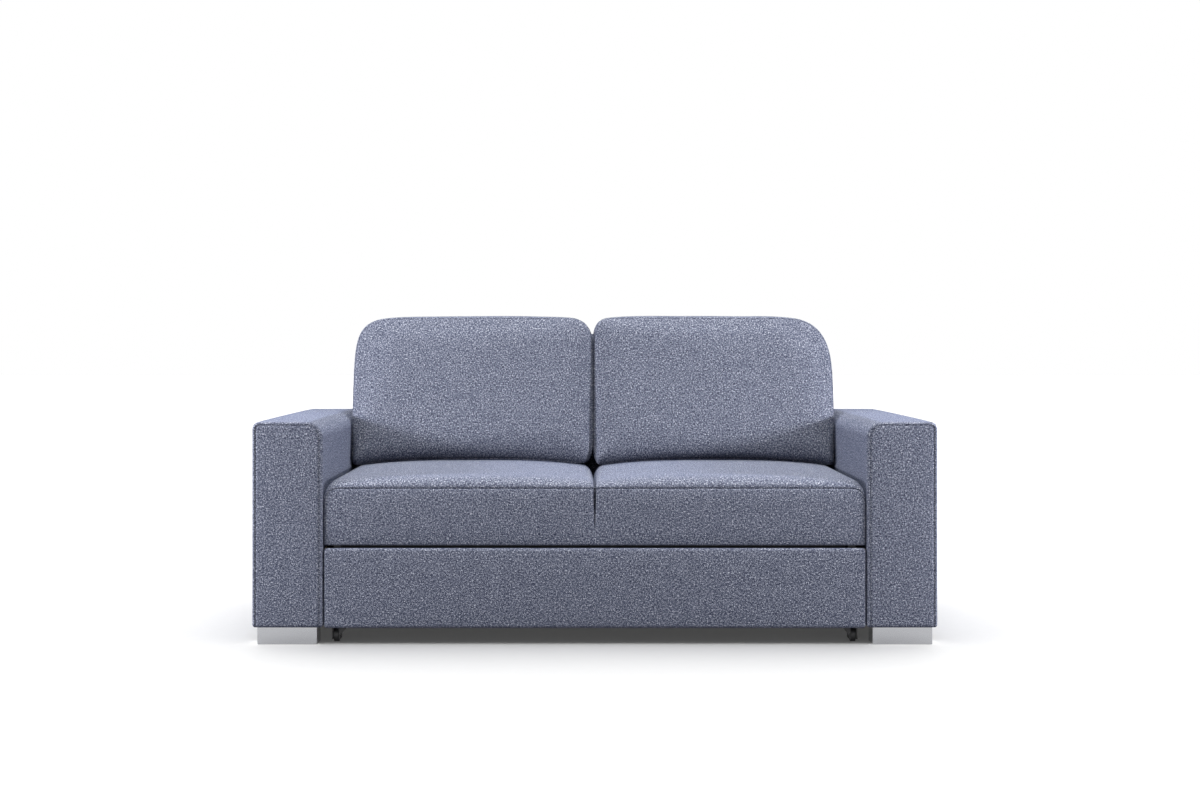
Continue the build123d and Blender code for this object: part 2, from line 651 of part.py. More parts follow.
with BuildPart() as rear_cross_rail:
    block((-CHEEK_X, CHEEK_REAR - BOARD, BEAM_LOW), (CHEEK_X, CHEEK_REAR, BEAM_LOW + BACK_STILE))
export(rear_cross_rail.part, "rear_cross_rail")

# ---------------------------------------------------------------- castors
with BuildPart() as castor_forks:
    for place, castor_y in CASTOR_POSITIONS:
        with BuildSketch(Plane.XZ.offset(-castor_y - FORK_DEPTH / 2)):
            with BuildLine():
                Polyline(
                    (FORK_OUTER_X, FORK_LOW),
                    (FORK_OUTER_X, CHEEK_LOW),
                    (FORK_FLANGE_X, CHEEK_LOW),
                    (FORK_FLANGE_X, CHEEK_LOW - FORK_FLANGE),
                    (FORK_INNER_X, WHEEL_RADIUS),
                    (FORK_INNER_X, FORK_LOW),
                    close=True,
                )
            make_face()
        extrude(amount=FORK_DEPTH)
        slot_half = WHEEL_WIDTH / 2 + FORK_CLEARANCE
        block(
            (WHEEL_X - slot_half, castor_y - FORK_DEPTH, 0),
            (WHEEL_X + slot_half, castor_y + FORK_DEPTH, 2 * WHEEL_RADIUS + WHEEL_EDGE),
            mode=Mode.SUBTRACT,
        )
        rod(FORK_INNER_X, FORK_OUTER_X, (castor_y, WHEEL_RADIUS), AXLE_RADIUS, mode=Mode.SUBTRACT)
    mirror_in_place()
export(castor_forks.part, "castor_forks")

with BuildPart() as castor_axles:
    for place, castor_y in CASTOR_POSITIONS:
        rod(FORK_INNER_X, FORK_OUTER_X, (castor_y, WHEEL_RADIUS), AXLE_RADIUS)
    mirror_in_place()
export(castor_axles.part, "castor_axles")

for place, castor_y in CASTOR_POSITIONS:
    with BuildPart() as castor_wheel:
        axis = (castor_y, WHEEL_RADIUS)
        rod(WHEEL_X - WHEEL_WIDTH / 2, WHEEL_X + WHEEL_WIDTH / 2, axis, WHEEL_RADIUS)
        rims = castor_wheel.edges().filter_by(GeomType.CIRCLE)
        fillet(rims, WHEEL_EDGE)
        rod(
            WHEEL_X - WHEEL_WIDTH / 2,
            WHEEL_X + WHEEL_WIDTH / 2,
            axis,
            AXLE_RADIUS + RUNNING_CLEARANCE,
            mode=Mode.SUBTRACT,
        )
    export_pair(castor_wheel.part, f"castor_wheel_{place}")


# ---------------------------------------------------------------- drawer and front panel
def slide_channel(x, depth, low, height, towards):
    """Add one channel of a drawer slide: a web at x and two flanges that point along +X or -X."""
    web_low, web_high = sorted((x, x + towards * SLIDE_WALL))
    block((web_low, SLIDE_FRONT, low), (web_high, DRAWER_REAR, low + height))
    flange_low, flange_high = sorted((x, x + towards * depth))
    for z in (low, low + height - SLIDE_WALL):
        block((flange_low, SLIDE_FRONT, z), (flange_high, DRAWER_REAR, z + SLIDE_WALL))


SLIDE_DEPTH = CHEEK_X - DRAWER_HALF - SLIDE_WALL - SLIDE_CLEARANCE
INNER_SLIDE_STEP = SLIDE_WALL + SLIDE_CLEARANCE

with BuildPart() as drawer_rails_outer:
    slide_channel(CHEEK_X, SLIDE_DEPTH, SLIDE_LOW, SLIDE_HEIGHT, -1)
    mirror_in_place()
export(drawer_rails_outer.part, "drawer_rails_outer")

with BuildPart() as drawer_rails_inner:
    slide_channel(
        DRAWER_HALF, SLIDE_DEPTH, SLIDE_LOW + INNER_SLIDE_STEP, SLIDE_HEIGHT - 2 * INNER_SLIDE_STEP, 1
    )
    mirror_in_place()
export(drawer_rails_inner.part, "drawer_rails_inner")

with BuildPart() as drawer_box:
    inside = DRAWER_HALF - DRAWER_BOARD
    for x in (-DRAWER_HALF, inside):
        block((x, PANEL_REAR, DRAWER_LOW), (x + DRAWER_BOARD, DRAWER_REAR, DRAWER_TOP))
    end_half = inside - GLUE_LINE
    for y in (PANEL_REAR, DRAWER_REAR - DRAWER_BOARD):
        block((-end_half, y, DRAWER_LOW), (end_half, y + DRAWER_BOARD, DRAWER_TOP))
export(drawer_box.part, "drawer_box")

with BuildPart() as drawer_bottom:
    floor_low = DRAWER_LOW + DRAWER_FLOOR_RISE
    block(
        (-end_half, PANEL_REAR + DRAWER_BOARD + GLUE_LINE, floor_low),
        (end_half, DRAWER_REAR - DRAWER_BOARD - GLUE_LINE, floor_low + DRAWER_FLOOR),
    )
export(drawer_bottom.part, "drawer_bottom")

BOARD_HALF = PANEL_HALF - PANEL_PADDING
BOARD_LOW = PANEL_LOW + PANEL_PADDING
BOARD_TOP = PANEL_TOP - PANEL_PADDING
BOARD_FRONT = PANEL_FRONT + PANEL_PADDING

with BuildPart() as front_panel_board:
    block((-BOARD_HALF, BOARD_FRONT, BOARD_LOW), (BOARD_HALF, PANEL_REAR, BOARD_TOP))
export(front_panel_board.part, "front_panel_board")

with BuildPart() as front_panel_cover:
    block((-PANEL_HALF, PANEL_FRONT, PANEL_LOW), (PANEL_HALF, PANEL_REAR, PANEL_TOP))
    fillet(front_panel_cover.faces().sort_by(Axis.Y)[0].edges(), PANEL_EDGE_RADIUS)
    block((-BOARD_HALF, BOARD_FRONT, BOARD_LOW), (BOARD_HALF, PANEL_REAR, BOARD_TOP), mode=Mode.SUBTRACT)
export(front_panel_cover.part, "front_panel_cover")

# ---------------------------------------------------------------- back cushions
CUSHION_REAR = MIDDLE_FACE - SEAT_GAP
CUSHION_RISE = HEIGHT - CUSHION_LOW
CUSHION_SLOPE = (CUSHION_THICK_LOW - CUSHION_THICK_TOP) / CUSHION_RISE

for side, (outer_radius, inner_radius) in CUSHION_CORNERS.items():
    x_low, x_high = CUSHION_INNER_X, CUSHION_OUTER_X
    if side == "left":
        x_low, x_high = -CUSHION_OUTER_X, -CUSHION_INNER_X
    with BuildPart() as back_cushion:
        with BuildSketch(Plane.XZ.offset(-CUSHION_REAR)):
            with Locations(((x_low + x_high) / 2, (CUSHION_LOW + HEIGHT) / 2)):
                Rectangle(x_high - x_low, CUSHION_RISE)
            left_radius, right_radius = inner_radius, outer_radius
            if side == "left":
                left_radius, right_radius = outer_radius, inner_radius
            fillet(vertices().group_by(Axis.Y)[-1].sort_by(Axis.X)[0], left_radius)
            fillet(vertices().group_by(Axis.Y)[-1].sort_by(Axis.X)[-1], right_radius)
            fillet(vertices().group_by(Axis.Y)[0], CUSHION_FOOT_RADIUS)
        extrude(amount=CUSHION_THICK_LOW)
        lean = Plane(
            (0, CUSHION_REAR - CUSHION_THICK_LOW, CUSHION_LOW), x_dir=(1, 0, 0), z_dir=(0, 1, -CUSHION_SLOPE)
        )
        split(bisect_by=lean, keep=Keep.TOP)
        front_face = back_cushion.faces().sort_by(Axis.Y)[0]
        fillet(front_face.edges(), CUSHION_FRONT_RADIUS)
    export(back_cushion.part, f"back_cushion_{side}")
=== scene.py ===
"""Looks of the two-seat sofa bed: upholstery, materials, studio and camera, around the CAD frame."""

import json
import math

import bpy
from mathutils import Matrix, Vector, noise


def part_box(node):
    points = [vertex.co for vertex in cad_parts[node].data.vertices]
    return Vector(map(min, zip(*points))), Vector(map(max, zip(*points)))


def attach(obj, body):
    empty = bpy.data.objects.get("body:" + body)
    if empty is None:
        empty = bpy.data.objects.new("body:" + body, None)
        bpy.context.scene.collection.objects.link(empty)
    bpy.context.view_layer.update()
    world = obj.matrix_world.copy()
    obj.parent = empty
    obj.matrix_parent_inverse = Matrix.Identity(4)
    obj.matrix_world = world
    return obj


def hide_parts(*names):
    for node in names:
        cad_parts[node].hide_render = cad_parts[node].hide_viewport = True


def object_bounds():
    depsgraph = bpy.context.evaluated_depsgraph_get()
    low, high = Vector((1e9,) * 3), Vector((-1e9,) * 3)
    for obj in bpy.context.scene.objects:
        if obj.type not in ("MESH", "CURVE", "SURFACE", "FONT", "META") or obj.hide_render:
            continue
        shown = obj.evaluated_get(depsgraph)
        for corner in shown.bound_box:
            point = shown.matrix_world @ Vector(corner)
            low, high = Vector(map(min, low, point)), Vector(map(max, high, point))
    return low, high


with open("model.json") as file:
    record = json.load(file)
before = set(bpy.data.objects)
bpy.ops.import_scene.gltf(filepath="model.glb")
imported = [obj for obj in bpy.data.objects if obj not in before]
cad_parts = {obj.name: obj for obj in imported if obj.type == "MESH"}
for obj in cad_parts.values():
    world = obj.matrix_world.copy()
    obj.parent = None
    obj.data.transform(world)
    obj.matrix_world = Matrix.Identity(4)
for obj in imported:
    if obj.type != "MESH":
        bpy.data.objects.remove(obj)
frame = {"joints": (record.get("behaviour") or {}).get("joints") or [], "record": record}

CAD_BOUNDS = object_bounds()
MM = 0.001
TINY = 1e-6

# Spacing of mesh lines: fine in a band along each end of a piece, coarse in between
FINE_BAND = 50 * MM
FINE_STEP = 3 * MM
COARSE_STEP = 14 * MM
BAND_POWER = 1.25

# Arms, panels, wings and mattresses
SEAM_DEPTH = 3.0 * MM
SEAM_WIDTH = 2.2 * MM
ARM_EDGE = 8 * MM
ARM_FOOT_CORNER = 4 * MM
ARM_OUTER_CORNER = 20 * MM
ARM_INNER_CORNER = 45 * MM
ARM_FRONT_CROWN = 2 * MM
ARM_TOP_CROWN = 3 * MM
ARM_SEAM_INSET = 10 * MM
FRONT_PANEL_CORNER = 8 * MM
FRONT_PANEL_EDGES = (7 * MM, 3 * MM)
FRONT_PANEL_CROWN = 3 * MM
BACK_PANEL_CORNER = 6 * MM
BACK_PANEL_EDGES = (4 * MM, 6 * MM)
BACK_PANEL_CROWN = 2 * MM
WING_TOP_CORNER = 30 * MM
WING_CORNER = 5 * MM
WING_EDGE = 4 * MM
MATTRESS_EDGE = 14 * MM
MATTRESS_SEAM_INSET = 24 * MM
MATTRESS_SEAM_DEPTH = 3 * MM

# Seat: heights above the floor, the round top edge, the pinched crease between the pads and its slit
SEAT_SEAM = 441 * MM
SEAT_FRONT_CREST = 474 * MM
SEAT_CROWN = 483 * MM
SEAT_SIDE_TOP = 461 * MM
SEAT_CROWN_SHARE = 0.62
SEAT_SIDE_RADIUS = 42 * MM
SEAT_ROUND_DEPTH = 70 * MM
SEAT_ROUND_POWER = 2.3
SEAT_BULGE = 5 * MM
SEAT_BULGE_FADE = 0.6
SEAT_END_RADIUS = 12 * MM
SEAT_REAR_RADIUS = 8 * MM
PINCH_FRONT = 12 * MM
PINCH_REAR = 38 * MM
PINCH_DROP = 1.35
VALLEY = 9 * MM
VALLEY_RISE = 1.3
SLIT_RISE = 4
SLIT_LOW = 322 * MM
SLIT_HALF = 3.2 * MM
SLIT_FOOT_SHARE = 0.35
SLIT_DEPTH = 30 * MM
SLIT_SHALLOW = 11 * MM
SLIT_DEEPENING = 40 * MM
SEAT_BOARD_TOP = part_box("seat_frame")[1][2] + 5 * MM
SEAT_SEAM_DEPTH = 2.8 * MM
SEAT_SEAM_WIDTH = 1.5 * MM
SEAM_ROOM = 5 * MM
HEM = 6 * MM
HEM_ROOM = 2 * MM
REAR_ROOM = 10 * MM
REAR_DROP = 12 * MM
HINGE_ROOM = 123 * MM

# Seat mesh: its lines beside the crease and beside each side, in mm, and the rest by number
CREASE_LINES = [0.0, 0.6, 1.2, 1.8, 2.4, 3.0, 3.8, 5.0, 7.0, 9.5, 12.5, 16, 20, 24, 28, 32, 38, 46, 56]
SIDE_LINES = [0.0, 0.6, 1.5, 3.0, 5.0, 7.5, 10.5, 14, 18, 23, 28, 34, 41, 50, 62]
SEAM_LINES = [3.2, 1.6, 0.0]
PAD_COLUMNS = 52
HEM_STEPS = 6
FRONT_STEPS = 43
ROUND_STEPS = 18
ROUND_SPACING = 1.5
SEAM_FADE_LINES = 1.2
PAD_STEPS = 59
EDGE_STEPS = 5
REAR_STEPS = 29
FLOOR_STEPS = 12

# Back cushions: each corner as its reach along X and Z and the power of its curve
CUSHION_OUTER_TOP = {"left": (198 * MM, 216 * MM, 4.4), "right": (160 * MM, 198 * MM, 2.75)}
CUSHION_INNER_TOP = {"left": (74 * MM, 72 * MM, 2.0), "right": (50 * MM, 50 * MM, 2.0)}
CUSHION_INNER_FOOT = {"left": (56 * MM, 74 * MM, 3.0), "right": (32 * MM, 46 * MM, 3.0)}
CUSHION_OUTER_FOOT = (19 * MM, 25 * MM, 3.0)
CUSHION_SETTLE = 4 * MM
CUSHION_FRONT_ROUND = 62 * MM
CUSHION_REAR_ROUND = 18 * MM
CUSHION_EDGE_POWER = 3.0
CUSHION_TOP_SHARE = 0.45
CUSHION_REST = 1.5 * MM
CUSHION_SWELL = 3 * MM
CUSHION_SWELL_HEIGHT = 0.42
CUSHION_SWELL_SPREAD = 0.22
CUSHION_SEAMS = (36 * MM, 154 * MM)
CUSHION_SEAM_WIDTH = 2 * MM
CUSHION_SEAM_LINES = (-3.4, -1.5, 0, 1.5, 3.4)
CUSHION_SEAM_ROOM = 5 * MM
CUSHION_BAND = 40 * MM
CUSHION_FINE_STEP = 6 * MM
CUSHION_STEP = 11 * MM
CUSHION_FRAMES = 20
CUSHION_PRESSURE = 4.0
CUSHION_CAP = 9 * MM
CUSHION_RELAXING = 14
CUSHION_UNEVEN = 1.6 * MM
CUSHION_UNEVEN_PER_METRE = 7

# Cloth: dashes, flecks and clouds per metre, the waves of its yarns, and its colours from dark to light
DASH_ACROSS = 325
DASH_ALONG = 155
FLECKS = 410
CLOUDS = 30
FLECK_SHARE = 0.42
CLOUD_SHARE = 0.045
YARNS = 2 * math.pi / (5 * MM)
CLOTH_COLOURS = [
    (0.35, (0.005, 0.007, 0.017)),
    (0.44, (0.027, 0.031, 0.051)),
    (0.50, (0.058, 0.064, 0.092)),
    (0.56, (0.124, 0.132, 0.172)),
    (0.65, (0.316, 0.328, 0.384)),
]

# Camera
CAMERA_X = -40 * MM
CAMERA_HEIGHT = 850 * MM
CAMERA_DISTANCE = 4.82
CAMERA_LENS = 51.13
CAMERA_SHIFT = (0.0161, -0.0465)

# Studio: spreads in degrees
ROOM_SHARE = 0.2
FLOOR_SHADE = 0.8
FLOOR_GLOW = 0.05
FLOOR_REACH = 40.0
DOME_POWER = 4.7
DOME_SPREAD = 140
DOME_PLACE = (0, 1.9, 3.0)
OVERHEAD_POWER = 11.1
OVERHEAD_COLOUR = (1.0, 0.99, 0.9)
OVERHEAD_SPREAD = 60
OVERHEAD_PLACE = (0, -0.1, 3.0)
SIDE_POWER = 127
SIDE_SIZE = 400 * MM
SIDE_PLACE = (2.6, -0.9, 1.1)
SIDE_TARGET = (0, 0.1, 0.6)
FILL_POWER = 0.8
FILL_SPREAD = 60
FILL_PLACE = (0, -3.0, 0.9)


def clamp(value, low, high):
    return max(low, min(high, value))


def mix(first, second, share):
    return first + (second - first) * share


def smoothstep(value):
    value = clamp(value, 0.0, 1.0)
    return value * value * (3 - 2 * value)


# ---------------------------------------------------------------- mesh helpers
def stations(low, high, band=FINE_BAND, fine=FINE_STEP, coarse=COARSE_STEP):
    """Positions from low to high: close together within a band of each end, wider in between."""
    span = high - low
    band = min(band, span / 2)
    steps = max(2, round(band / fine))
    edge = [band * (i / steps) ** BAND_POWER for i in range(steps + 1)]
    middle = []
    gap = span - 2 * band
    if gap > coarse / 2:
        count = max(1, round(gap / coarse))
        middle = [low + band + gap * i / count for i in range(1, count)]
    near = [low + e for e in edge]
    far = [high - e for e in reversed(edge)]
    if gap < TINY:
        far = far[1:]
    return near + middle + far


def new_object(name, points, faces):
    mesh = bpy.data.meshes.new(name)
    mesh.from_pydata(points, [], faces)
    mesh.update()
    piece = bpy.data.objects.new(name, mesh)
    bpy.context.scene.collection.objects.link(piece)
    return piece


def lattice(name, xs, ys, zs, place):
    """The closed surface of a box of lattice lines, with each point moved by place(point)."""
    axes = (xs, ys, zs)
    last = [len(a) - 1 for a in axes]
    index = {}
    points = []
    faces = []

    def vertex(key):
        if key not in index:
            index[key] = len(points)
            points.append(place(Vector(axes[a][key[a]] for a in range(3))))
        return index[key]

    for a in range(3):
        b, c = (a + 1) % 3, (a + 2) % 3
        for side in (0, last[a]):
            for i in range(last[b]):
                for j in range(last[c]):
                    corners = [(i, j), (i + 1, j), (i + 1, j + 1), (i, j + 1)]
                    if side == 0:
                        corners.reverse()
                    quad = []
                    for u, v in corners:
                        key = [0, 0, 0]
                        key[a], key[b], key[c] = side, u, v
                        quad.append(vertex(tuple(key)))
                    faces.append(quad)
    return new_object(name, points, faces)


def weave_uv(piece):
    """UVs in metres, laid flat on each side of the piece, so that the weave runs along its edges."""
    mesh = piece.data
    layer = mesh.uv_layers.new(name="weave")
    for polygon in mesh.polygons:
        normal = polygon.normal
        axis = max(range(3), key=lambda a: abs(normal[a]))
        u, v = [(1, 2), (0, 2), (0, 1)][axis]
        for loop in polygon.loop_indices:
            point = mesh.vertices[mesh.loops[loop].vertex_index].co
            layer.data[loop].uv = (point[u], point[v])


def finish_piece(piece, material, body, nodes):
    """Smooth and clothe one piece, and put it on its body in place of its CAD nodes."""
    for polygon in piece.data.polygons:
        polygon.use_smooth = True
    weave_uv(piece)
    piece.data.materials.clear()
    piece.data.materials.append(material)
    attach(piece, body)
    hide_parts(*nodes)


class Slab:
    """A box with its outline rounded as seen along Y, and soft front and rear edges.

    corners: radii of the left foot, right foot, left top and right top corner.
    edges: radii of the front and the rear edge.
    crown: height of the swell on a face, for each (axis, sign).
    seams: (inset, depth) of each seam on the front face.
    """

    def __init__(self, low, high, corners, edges, crown=None, seams=(), foot_seam=False):
        self.low, self.high = Vector(low), Vector(high)
        self.middle = (self.low + self.high) / 2
        self.half = (self.high - self.low) / 2
        self.corners = corners
        self.edges = edges
        self.crown = crown or {}
        self.seams = seams
        self.foot_seam = foot_seam

    def quadrant(self, p):
        """Corner radius near a point, and the nearest place in X and Z that lies that far inside."""
        right, top = p.x > self.middle.x, p.z > self.middle.z
        edge = self.edges[0] if p.y < self.middle.y else self.edges[1]
        radius = max(self.corners[2 * top + right], edge)
        qx = min(p.x, self.high.x - radius) if right else max(p.x, self.low.x + radius)
        qz = min(p.z, self.high.z - radius) if top else max(p.z, self.low.z + radius)
        return radius, qx, qz

    def inset(self, p):
        """How far a point lies inside the rounded outline, with its foot left out unless sewn there."""
        radius, qx, qz = self.quadrant(p)
        corner = math.hypot(p.x - qx, p.z - qz)
        if abs(p.x - qx) > 0 and abs(p.z - qz) > 0:
            return radius - corner
        sides = [p.x - self.low.x, self.high.x - p.x, self.high.z - p.z]
        if self.foot_seam:
            sides.append(p.z - self.low.z)
        return min(sides)

    def rounded(self, p):
        radius, qx, qz = self.quadrant(p)
        edge = self.edges[0] if p.y < self.middle.y else self.edges[1]
        dx, dz = p.x - qx, p.z - qz
        distance = math.hypot(dx, dz)
        reach = radius - edge
        core = Vector((p.x, p.y, p.z))
        if distance > reach:
            core.x = qx + dx / distance * reach
            core.z = qz + dz / distance * reach
        core.y = clamp(p.y, self.low.y + self.edges[0], self.high.y - self.edges[1])
        away = p - core
        if away.length < TINY:
            return p.copy()
        return core + away.normalized() * edge

    def place(self, p):
        q = self.rounded(p)
        for (axis, sign), height in self.crown.items():
            face = self.high[axis] if sign > 0 else self.low[axis]
            if abs(p[axis] - face) < TINY:
                b, c = [a for a in range(3) if a != axis]
                ub = (p[b] - self.middle[b]) / self.half[b]
                uc = (p[c] - self.middle[c]) / self.half[c]
                q[axis] += sign * height * (1 - abs(ub) ** 4) * (1 - abs(uc) ** 4)
        on_front = abs(p.y - self.low.y) < TINY
        for inset, depth in self.seams:
            if on_front:
                q.y += depth * math.exp(-(((self.inset(p) - inset) / SEAM_WIDTH) ** 2))
        return q


def slab_piece(name, slab):
    axes = [stations(slab.low[a], slab.high[a]) for a in range(3)]
    return lattice(name, *axes, slab.place)


def turned(piece):
    """Swap X and Y, for a slab that was drawn with its thickness along Y but stands across X."""
    for vertex in piece.data.vertices:
        vertex.co.x, vertex.co.y = vertex.co.y, vertex.co.x
    piece.data.flip_normals()
    return piece


def mirrored(piece):
    """Turn a slab that was drawn facing -Y so that its sewn face is at +Y."""
    for vertex in piece.data.vertices:
        vertex.co.y = -vertex.co.y
    piece.data.flip_normals()
    return piece


# ---------------------------------------------------------------- materials
def material_with_nodes(name):
    material = bpy.data.materials.new(name)
    material.use_nodes = True
    nodes = material.node_tree.nodes
    links = material.node_tree.links
    return material, nodes, links, nodes["Principled BSDF"]


def math_node(nodes, links, operation, *values):
    node = nodes.new("ShaderNodeMath")
    node.operation = operation
    for socket, value in zip(node.inputs, values):
        if isinstance(value, (int, float)):
            socket.default_value = value
        else:
            links.new(value, socket)
    return node.outputs[0]


def stretched_noise(nodes, links, coordinates, scale, detail):
    """Noise with its own scale along each direction of the coordinates."""
    mapping = nodes.new("ShaderNodeMapping")
    mapping.inputs["Scale"].default_value = scale
    links.new(coordinates, mapping.inputs["Vector"])
    texture = nodes.new("ShaderNodeTexNoise")
    texture.inputs["Scale"].default_value = 1.0
    texture.inputs["Detail"].default_value = detail
    links.new(mapping.outputs["Vector"], texture.inputs["Vector"])
    return texture.outputs["Fac"]


def mixed(nodes, links, factor, first, second):
    node = nodes.new("ShaderNodeMix")
    if isinstance(factor, float):
        node.inputs["Factor"].default_value = factor
    else:
        links.new(factor, node.inputs["Factor"])
    links.new(first, node.inputs["A"])
    links.new(second, node.inputs["B"])
    return node.outputs["Result"]


def ramp(nodes, links, value, stops):
    node = nodes.new("ShaderNodeValToRGB")
    elements = node.color_ramp.elements
    while len(elements) < len(stops):
        elements.new(0.5)
    for element, (position, colour) in zip(elements, stops):
        element.position = position
        element.color = (*colour, 1)
    links.new(value, node.inputs["Fac"])
    return node.outputs["Color"]


def bump(nodes, links, shader, height, strength, distance):
    node = nodes.new("ShaderNodeBump")
    node.inputs["Strength"].default_value = strength
    node.inputs["Distance"].default_value = distance
    links.new(height, node.inputs["Height"])
    links.new(node.outputs["Normal"], shader.inputs["Normal"])


def woven_cloth():
    """Melange cloth: dashes of dark and light yarn along the warp and the weft of a plain weave."""
    material, nodes, links, shader = material_with_nodes("melange_cloth")
    uv = nodes.new("ShaderNodeUVMap")
    uv.uv_map = "weave"
    vector = uv.outputs["UV"]
    warp = stretched_noise(nodes, links, vector, (DASH_ACROSS, DASH_ALONG, 1), 1)
    weft = stretched_noise(nodes, links, vector, (DASH_ALONG, DASH_ACROSS, 1), 1)
    fleck = stretched_noise(nodes, links, vector, (FLECKS, FLECKS, 1), 2)
    cloud = stretched_noise(nodes, links, vector, (CLOUDS, CLOUDS, 1), 2)
    separate = nodes.new("ShaderNodeSeparateXYZ")
    links.new(vector, separate.inputs[0])
    across = math_node(nodes, links, "MULTIPLY", separate.outputs["X"], YARNS)
    along = math_node(nodes, links, "MULTIPLY", separate.outputs["Y"], YARNS)
    over = math_node(nodes, links, "SINE", across)
    under = math_node(nodes, links, "SINE", along)
    crossing = math_node(nodes, links, "MULTIPLY", over, under)
    share = math_node(nodes, links, "MULTIPLY_ADD", crossing, 0.5, 0.5)
    yarn = mixed(nodes, links, share, warp, weft)
    flecked = mixed(nodes, links, FLECK_SHARE, yarn, fleck)
    shaded = mixed(nodes, links, CLOUD_SHARE, flecked, cloud)
    colour = ramp(nodes, links, shaded, CLOTH_COLOURS)
    links.new(colour, shader.inputs["Base Color"])
    height = math_node(nodes, links, "ADD", crossing, yarn)
    bump(nodes, links, shader, height, 0.5, 0.5 * MM)
    shader.inputs["Roughness"].default_value = 0.95
    shader.inputs["Specular IOR Level"].default_value = 0.05
    shader.inputs["Sheen Weight"].default_value = 0.06
    shader.inputs["Sheen Roughness"].default_value = 0.5
    shader.inputs["Sheen Tint"].default_value = (0.30, 0.40, 0.85, 1)
    return material


def wood(name, dark, light, grain, roughness):
    """Planed wood: long grain along one axis, with fine pores."""
    material, nodes, links, shader = material_with_nodes(name)
    coordinates = nodes.new("ShaderNodeTexCoord").outputs["Object"]
    rings = stretched_noise(nodes, links, coordinates, grain, 6)
    colour = ramp(nodes, links, rings, [(0.3, dark), (0.7, light)])
    links.new(colour, shader.inputs["Base Color"])
    bump(nodes, links, shader, rings, 0.2, 0.3 * MM)
    shader.inputs["Roughness"].default_value = roughness
    return material


def grained(name, base, change, scale, roughness, metallic=0.0, height=0.05):
    """Metal, plastic, rubber or board: one colour with small changes, and a fine surface grain."""
    material, nodes, links, shader = material_with_nodes(name)
    coordinates = nodes.new("ShaderNodeTexCoord").outputs["Object"]
    grain = stretched_noise(nodes, links, coordinates, scale, 4)
    dark = tuple(c * (1 - change) for c in base)
    light = tuple(min(1.0, c * (1 + change)) for c in base)
    links.new(ramp(nodes, links, grain, [(0.3, dark), (0.7, light)]), shader.inputs["Base Color"])
    rough = nodes.new("ShaderNodeMapRange")
    rough.inputs["To Min"].default_value = roughness * 0.8
    rough.inputs["To Max"].default_value = min(1.0, roughness * 1.2)
    links.new(grain, rough.inputs["Value"])
    links.new(rough.outputs["Result"], shader.inputs["Roughness"])
    bump(nodes, links, shader, grain, height, 0.2 * MM)
    shader.inputs["Metallic"].default_value = metallic
    return material


CLOTH = woven_cloth()
FINISHES = {
    "timber": wood("planed_softwood", (0.165, 0.11, 0.06), (0.24, 0.175, 0.105), (9, 60, 60), 0.6),
    "slat_wood": wood("birch_slat", (0.20, 0.148, 0.088), (0.27, 0.21, 0.14), (6, 90, 90), 0.45),
    # Board: its own dark grey, darkened further so that the narrow gap below the seat, where it shows,
    # looks shaded: partly painted shade.
    "laminated_board": grained("grey_board_darkened_for_gap_shade", (0.045, 0.045, 0.05), 0.15, (400, 400, 400), 0.5),
    "webbing": grained("elastic_webbing", (0.05, 0.05, 0.055), 0.4, (300, 900, 300), 0.85, height=0.4),
    "chrome": grained("satin_chrome", (0.455, 0.46, 0.48), 0.03, (500, 40, 500), 0.22, 1.0, 0.01),
    "zinc_steel": grained("zinc_plate", (0.56, 0.57, 0.58), 0.10, (300, 60, 300), 0.34, 1.0),
    "painted_steel": grained("powder_coat", (0.035, 0.035, 0.038), 0.2, (900, 900, 900), 0.45, height=0.15),
    "black_plastic": grained("moulded_plastic", (0.022, 0.022, 0.024), 0.25, (700, 700, 700), 0.5),
    "rubber": grained("soft_rubber", (0.03, 0.03, 0.03), 0.3, (500, 500, 500), 0.85),
    "upholstery_cloth": CLOTH,
    "mattress_cloth": CLOTH,
}

for subpart in frame["record"]["subparts"]:
    node = bpy.data.objects.get(subpart["node"])
    if node is not None:
        for slot in node.material_slots:
            slot.material = FINISHES[subpart["material_slot"]]


# ---------------------------------------------------------------- arms
def arm(side):
    low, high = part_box(f"arm_cover_{side}")
    top = (ARM_OUTER_CORNER, ARM_INNER_CORNER)
    if side == "right":
        top = top[::-1]
    slab = Slab(
        low,
        high,
        (ARM_FOOT_CORNER, ARM_FOOT_CORNER) + top,
        (ARM_EDGE, ARM_EDGE),
        crown={(1, -1): ARM_FRONT_CROWN, (2, 1): ARM_TOP_CROWN},
        seams=[(ARM_SEAM_INSET, SEAM_DEPTH)],
    )
    piece = slab_piece(f"arm_upholstery_{side}", slab)
    finish_piece(piece, CLOTH, "sofa_body", [f"arm_cover_{side}"])


for side in ("left", "right"):
    arm(side)


# ---------------------------------------------------------------- seat
def quarter_drop(distance, radius):
    """Drop of a round edge at a distance inside it, as a share of its radius."""
    t = clamp(1 - distance / radius, 0.0, 1.0)
    return 1 - math.sqrt(1 - t * t)


